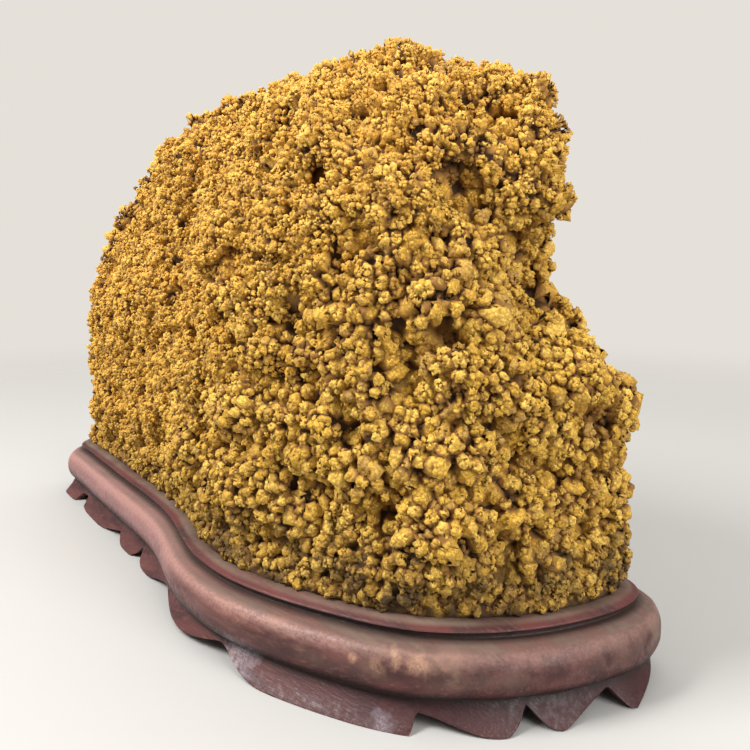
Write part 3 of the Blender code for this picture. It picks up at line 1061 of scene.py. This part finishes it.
wood, tree, shader = new_material("dark_lacquered_wood")
place = add_node(tree, "TexCoord").outputs["Object"]
split = add_node(tree, "SeparateXYZ", {0: place})
along, height = split.outputs["X"], split.outputs["Z"]
normal = add_node(tree, "NewGeometry").outputs["Normal"]
facing_up = add_node(tree, "SeparateXYZ", {0: normal}).outputs["Z"]
stretched = add_node(tree, "Mapping", {"Vector": place, "Scale": (ALONG_GRAIN, 1.0, 1.0)}).outputs["Vector"]
fibres = noise_of(stretched, 900.0, 4.0, 0.6)
bands = noise_of(stretched, 130.0, 4.0, 0.55)
cloud = noise_of(place, 26.0, 4.0, 0.6)
speckle = noise_of(place, 420.0, 3.0)
fine_speckle = noise_of(place, 1200.0, 2.0, 0.7)
colour = mix_colour(remap(bands, *DARK_BANDS), WOOD_DARK, WOOD_BASE)
colour = mix_colour(remap(fibres, *PALE_FIBRES), colour, WOOD_RUBBED_AND_SHEEN)
print("grain:", len(tree.nodes), "nodes so far")

# %% [markdown]
# A moulding catches wear by its height, so bands of height, in metres, tell the parts of the stand
# apart. The slope under the rim is redder. The bullnose is pink towards the low end and greyed towards
# the tall one, and the shelf above it is grey.

# %% The parts of the moulding
WOOD_RED = (0.098, 0.022, 0.021, 1)
WOOD_PINK = (0.275, 0.136, 0.130, 1)
WOOD_GREYED = (0.135, 0.090, 0.070, 1)
SLOPE_ABOVE, SLOPE_TILT, RED_BANDS = (0.0335, 0.0345), (0.985, 0.93), (0.38, 0.58, 0.15, 0.9)
BULLNOSE = (0.0150, 0.0215, 0.0305, 0.0325)
SHELF, SHELF_BANDS = (0.0285, 0.0298, 0.0310, 0.0325), (0.3, 0.6, 0.9, 0.4)
PINK_ALONG = (0.10, -0.02, 0.0, 0.85)
GREY_ALONG, GREY_CLOUD = (0.08, 0.18, 0.0, 0.8), (0.38, 0.60, 0.3, 1.0)

slope = product(remap(height, *SLOPE_ABOVE), remap(facing_up, *SLOPE_TILT))
colour = mix_colour(product(slope, remap(bands, *RED_BANDS)), colour, WOOD_RED)
bullnose = band(height, *BULLNOSE)
colour = mix_colour(product(bullnose, remap(along, *PINK_ALONG)), colour, WOOD_PINK)
greyed = product(bullnose, remap(along, *GREY_ALONG), remap(cloud, *GREY_CLOUD))
grey_shelf = product(band(height, *SHELF), remap(bands, *SHELF_BANDS))
colour = mix_colour(math_node("MAXIMUM", greyed, grey_shelf), colour, WOOD_GREYED)
print("moulding:", len(tree.nodes), "nodes so far")

# %% [markdown]
# Hands have rubbed the lacquer thin. The top of the bullnose shows a salmon tone in clouds and speckles,
# partly wear and partly painted sheen, its crest a painted highlight line, and old stain lies under the
# crest.

# %% The rubbed bullnose, with painted sheen and a painted highlight
WOOD_CREST_HIGHLIGHT_AND_SPECKS = (0.36, 0.200, 0.165, 1)
RUB_RISE, RUB_END = (0.0170, 0.0262, 0.1, 1.0), (0.0305, 0.0285)
RUB_ALONG, RUB_LESS_ALONG = (0.04, 0.11, 0.25, 0.9), (0.15, 0.2, 0.0, -0.55)
RUB_CLOUD, RUB_SPECKLE = (0.40, 0.66, 0.0, 0.8), (0.35, 0.62, 0.3, 1.0)
CREST_HIGHLIGHT, CREST_GRIT = (0.0235, 0.0272, 0.0286, 0.0300), (0.34, 0.66, 0.3, 0.75)
CREST_ALONG = (0.09, 0.17, 1.0, 0.35)
STAIN_STREAKS, STAIN_BELOW = (0.40, 0.56, 0.1, 0.8), (0.0285, 0.0240)
STAIN_ALONG = (-0.05, 0.11, 0.25, 1.0)

# Salmon on the top of the bullnose: partly wear, partly painted sheen.
rubbed_and_sheen = math_node("ADD", remap(along, *RUB_ALONG), remap(along, *RUB_LESS_ALONG))
rubbed_and_sheen = product(rubbed_and_sheen, remap(height, *RUB_RISE), remap(height, *RUB_END))
rubbed_and_sheen = product(rubbed_and_sheen, remap(cloud, *RUB_CLOUD), remap(speckle, *RUB_SPECKLE))
colour = mix_colour(rubbed_and_sheen, colour, WOOD_RUBBED_AND_SHEEN)
# Painted highlight along the crest of the bullnose.
crest_grit = remap(noise_of(place, 700.0, 4.0, 0.7), *CREST_GRIT)
crest_highlight = product(band(height, *CREST_HIGHLIGHT), crest_grit, remap(along, *CREST_ALONG))
colour = mix_colour(crest_highlight, colour, WOOD_CREST_HIGHLIGHT_AND_SPECKS)
streaks = remap(noise_of(stretched, 60.0, 5.0, 0.65), *STAIN_STREAKS)
stain = product(bullnose, streaks, remap(height, *STAIN_BELOW), remap(along, *STAIN_ALONG))
colour = mix_colour(stain, colour, WOOD_DARK)
print("bullnose:", len(tree.nodes), "nodes so far")

# %% [markdown]
# The apron is painted darker towards the tall end as shade, with pale specks low down. The cove and the
# recess under the rim are painted dark as shadow, hollows dark as shade and dirt, and ridges are worn
# through to bare wood.

# %% Apron, hollows and worn edges
WOOD_BARE = (0.62, 0.48, 0.34, 1)
WOOD_DEEP_SHADE = (0.012, 0.006, 0.005, 1)
APRON_BELOW, APRON_ALONG = (0.0125, 0.0085), (0.06, 0.18, 0.25, 0.9)
SPECKS_BELOW, SPECKS = (0.0060, 0.0), (0.52, 0.68, 0.0, 0.22)
COVE = (0.0065, 0.0105, 0.0130, 0.0165)
RECESS = (0.0304, 0.0314, 0.0328, 0.0336)
HOLLOW_SHADE_SHARE, DEEP_POINT_SHADE_AND_DIRT = 0.85, (-0.15, -0.8, 0.0, 0.85)
RIDGES, RIDGE_CLOUD, RIDGE_HEIGHT = (0.40, 1.0), (0.34, 0.66, 0.15, 0.85), (0.0335, 0.0200, 0.25, 1.0)

# Painted shade on the low apron towards the tall end.
apron_painted_shade = product(remap(height, *APRON_BELOW), remap(along, *APRON_ALONG))
colour = mix_colour(apron_painted_shade, colour, WOOD_DARK)
apron_pale = product(remap(height, *SPECKS_BELOW), remap(fine_speckle, *SPECKS))
colour = mix_colour(apron_pale, colour, WOOD_CREST_HIGHLIGHT_AND_SPECKS)
ridge_value = add_node(tree, "Attribute", attribute_name="ridge").outputs["Fac"]
# Painted shadow in the cove and the recess under the rim; painted shade and dirt in hollows.
hollow_shade = math_node("MAXIMUM", band(height, *COVE), band(height, *RECESS))
hollow_shade = math_node("MAXIMUM", product(hollow_shade, HOLLOW_SHADE_SHARE), remap(ridge_value, *DEEP_POINT_SHADE_AND_DIRT))
colour = mix_colour(hollow_shade, colour, WOOD_DEEP_SHADE)
worn = product(remap(ridge_value, *RIDGES), remap(cloud, *RIDGE_CLOUD), remap(height, *RIDGE_HEIGHT))
colour = mix_colour(worn, colour, WOOD_BARE)
print("apron:", len(tree.nodes), "nodes so far")

# %% [markdown]
# Single marks are listed one by one: worn spots, a bluish painted reflection and a chipped edge by the long
# front foot.
# Each is a ball about a point, its outline torn by noise.

# %% Single marks
WOOD_PAINTED_SHEEN = (0.40, 0.36, 0.41, 1)
WOOD_SPOT = (0.46, 0.27, 0.165, 1)
# Marks on the lacquer: where each is, its radius, and its strength.
WORN_SPOTS = [
    ((0.1480, -0.0723, 0.0243), 0.0026, 0.5), ((0.1624, -0.0641, 0.0285), 0.0034, 0.55),
    ((0.1642, -0.0649, 0.0258), 0.0032, 0.45), ((0.1712, -0.0610, 0.0261), 0.0058, 0.45),
    ((0.1580, -0.0690, 0.0225), 0.0045, 0.25),
]
# Painted reflection: bluish sheen on the lacquer of the apron.
SHEEN_SPOTS = [((0.0890, -0.0800, 0.0065), 0.0125, 0.38), ((0.1600, -0.0690, 0.0030), 0.0060, 0.3)]
CHIPPED_SPOTS = [((0.0850, -0.0800, 0.0000), 0.0075, 0.6)]
TORN = 2.2
MARK_EDGE = (1.15, 0.30)
MARK_SPECKLE = (0.35, 0.62, 0.35, 1.0)

ragged = math_node("SUBTRACT", noise_of(place, 300.0, 4.0, 0.7), 0.5)
ragged = product(ragged, TORN)
for spots, paint in ((SHEEN_SPOTS, WOOD_PAINTED_SHEEN), (WORN_SPOTS, WOOD_SPOT), (CHIPPED_SPOTS, WOOD_BARE)):
    for centre, radius, most in spots:
        away = add_node(tree, "VectorMath", {0: place, 1: centre}, operation="DISTANCE").outputs["Value"]
        away = math_node("ADD", math_node("DIVIDE", away, radius), ragged)
        mark = product(remap(away, *MARK_EDGE), most, remap(fine_speckle, *MARK_SPECKLE))
        colour = mix_colour(mark, colour, paint)
print(len(WORN_SPOTS) + len(SHEEN_SPOTS) + len(CHIPPED_SPOTS), "marks")

# %% [markdown]
# Grey dust lies in patches on the flat of the rim. It dulls the gloss as well as the colour. The fibres give
# a slight relief, which breaks up the highlights on the rounded wood.

# %% Dust, gloss and relief
DUST_ON_WOOD = (0.165, 0.118, 0.085, 1)
DUST_HEIGHT = (0.0352, 0.0362, 0.10, 0.85)
GLOSS, DUST_ON_GLOSS = (0.3, 0.7, 0.36, 0.60), 0.4
CLOUD_IN_RELIEF = 0.8
WOOD_RELIEF = 0.35
RELIEF_STRENGTH = 0.6
LACQUER_GLOSS = 0.26

dust = add_node(tree, "Group", {"Vector": place, "Facing Up": facing_up}, node_tree=dust_group)
dusty = product(dust.outputs["Dust"], remap(height, *DUST_HEIGHT))
colour = mix_colour(dusty, colour, DUST_ON_WOOD)
tree.links.new(colour, shader.inputs["Base Color"])
gloss = math_node("ADD", remap(speckle, *GLOSS), product(dusty, DUST_ON_GLOSS))
tree.links.new(gloss, shader.inputs["Roughness"])
scratches = math_node("ADD", fibres, product(cloud, CLOUD_IN_RELIEF))
set_relief(shader, scratches, WOOD_RELIEF, RELIEF_STRENGTH)
shader.inputs["Specular IOR Level"].default_value = LACQUER_GLOSS
stand_piece = shown_piece(stand, wood)
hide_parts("stand")
print("material", wood.name, "has", len(tree.nodes), "nodes")
